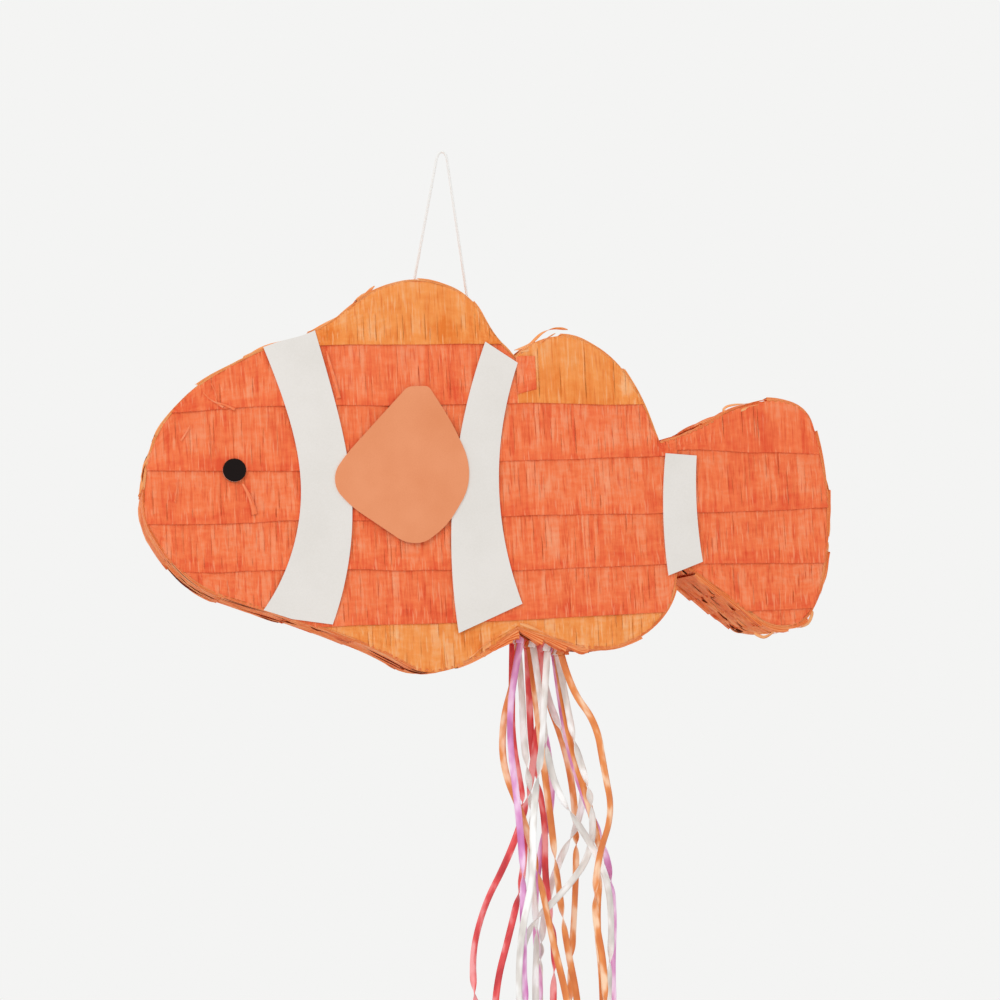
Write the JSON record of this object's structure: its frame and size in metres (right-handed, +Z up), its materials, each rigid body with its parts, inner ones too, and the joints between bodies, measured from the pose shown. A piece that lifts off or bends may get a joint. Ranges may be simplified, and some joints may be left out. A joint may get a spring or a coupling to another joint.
{
  "type": "pinata",
  "caption": "Fish-shaped pull-ribbon pinata of card and crepe fringe, hung by a string loop, with a filling flap and a release door with pull ribbons.",
  "frame": {"origin": "centre of the hook or nail that the hanging string loop runs over", "axes": "+Z up, front face towards -Y, fish's nose towards -X and tail towards +X"},
  "size_m": [0.5006, 0.0988, 0.7582],
  "materials": {
    "coral_crepe": "matt crepe paper",
    "golden_crepe": "matt crepe paper",
    "brown_card": "plain corrugated card",
    "white_card": "smooth matt card",
    "salmon_card": "smooth matt card",
    "black_card": "smooth matt card",
    "white_string": "twisted cotton",
    "lilac_ribbon": "satin",
    "red_ribbon": "satin",
    "orange_ribbon": "satin",
    "white_ribbon": "satin"
  },
  "bodies": {
    "hanger": {"hanging_string": "white_string"},
    "shell": {"front_panel": "brown_card", "back_panel": "brown_card", "head_wall": "brown_card", "rear_hump_wall": "brown_card", "tail_wall": "brown_card", "rear_belly_wall": "brown_card", "front_belly_wall": "brown_card", "head_edge_fringe": "golden_crepe", "rear_hump_edge_fringe": "golden_crepe", "tail_edge_fringe": "coral_crepe", "rear_belly_edge_fringe": "golden_crepe", "front_belly_edge_fringe": "golden_crepe", "front_fringe_row_1": "coral_crepe", "front_fringe_row_2": "coral_crepe", "front_fringe_row_3": "coral_crepe", "front_fringe_row_4": "coral_crepe", "front_fringe_row_5": "coral_crepe", "front_tail_fringe": "coral_crepe", "front_hump_fringe": "golden_crepe", "front_belly_fringe": "golden_crepe", "back_fringe_row_1": "coral_crepe", "back_fringe_row_2": "coral_crepe", "back_fringe_row_3": "coral_crepe", "back_fringe_row_4": "coral_crepe", "back_fringe_row_5": "coral_crepe", "back_tail_fringe": "coral_crepe", "back_hump_fringe": "golden_crepe", "back_belly_fringe": "golden_crepe", "front_head_stripe": "white_card", "front_middle_stripe": "white_card", "front_tail_stripe": "white_card", "back_stripes": "white_card", "front_fin": "salmon_card", "back_fin": "salmon_card", "front_eye": "black_card", "back_eye": "black_card", "string_patch": "brown_card", "string_knots": "white_string"},
    "filling_flap": {"filling_flap": "brown_card", "filling_flap_fringe": "coral_crepe"},
    "release_door": {"release_door": "brown_card", "release_door_fringe": "coral_crepe", "ribbon_knots": "white_ribbon"},
    "ribbon_row_1": {"ribbon_lilac_left": "lilac_ribbon", "ribbon_orange_left": "orange_ribbon", "ribbon_white_middle": "white_ribbon", "ribbon_red_inner": "red_ribbon"},
    "ribbon_row_2": {"ribbon_white_right": "white_ribbon", "ribbon_orange_inner": "orange_ribbon", "ribbon_red_middle": "red_ribbon", "ribbon_lilac_middle": "lilac_ribbon"},
    "ribbon_row_3": {"ribbon_white_left": "white_ribbon", "ribbon_red_left": "red_ribbon", "ribbon_white_back": "white_ribbon", "ribbon_orange_back": "orange_ribbon"},
    "ribbon_row_4": {"ribbon_orange_right": "orange_ribbon", "ribbon_white_crossing": "white_ribbon", "ribbon_orange_middle": "orange_ribbon", "ribbon_lilac_right": "lilac_ribbon"}
  },
  "joints": [
    {"name": "shell_swing", "type": "hinge", "parent": "hanger", "child": "shell", "pos_m": [-0.02574, 0, -0.09621], "axis": [0.8956, 0, -0.4448], "range_deg": [-60, 60]},
    {"name": "filling_flap_hinge", "type": "hinge", "parent": "shell", "child": "filling_flap", "pos_m": [0.088, 0.0476, -0.2329], "axis": [1, 0, 0], "range_deg": [0, 110]},
    {"name": "release_door_hinge", "type": "hinge", "parent": "shell", "child": "release_door", "pos_m": [0.03512, 0, -0.3552], "axis": [0, 1, 0], "range_deg": [0, 60]},
    {"name": "ribbon_row_1_hang", "type": "hinge", "parent": "release_door", "child": "ribbon_row_1", "pos_m": [0.03906, 0, -0.35986], "axis": [0, 1, 0], "range_deg": [-60, 0]},
    {"name": "ribbon_row_2_hang", "type": "hinge", "parent": "release_door", "child": "ribbon_row_2", "pos_m": [0.04851, 0, -0.36314], "axis": [0, 1, 0], "range_deg": [-60, 0]},
    {"name": "ribbon_row_3_hang", "type": "hinge", "parent": "release_door", "child": "ribbon_row_3", "pos_m": [0.05795, 0, -0.36643], "axis": [0, 1, 0], "range_deg": [-60, 0]},
    {"name": "ribbon_row_4_hang", "type": "hinge", "parent": "release_door", "child": "ribbon_row_4", "pos_m": [0.0674, 0, -0.36971], "axis": [0, 1, 0], "range_deg": [-60, 0]}
  ],
  "couplings": [
    {"joint": "ribbon_row_1_hang", "follows": "release_door_hinge", "ratio": -1},
    {"joint": "ribbon_row_2_hang", "follows": "release_door_hinge", "ratio": -1},
    {"joint": "ribbon_row_3_hang", "follows": "release_door_hinge", "ratio": -1},
    {"joint": "ribbon_row_4_hang", "follows": "release_door_hinge", "ratio": -1}
  ]
}
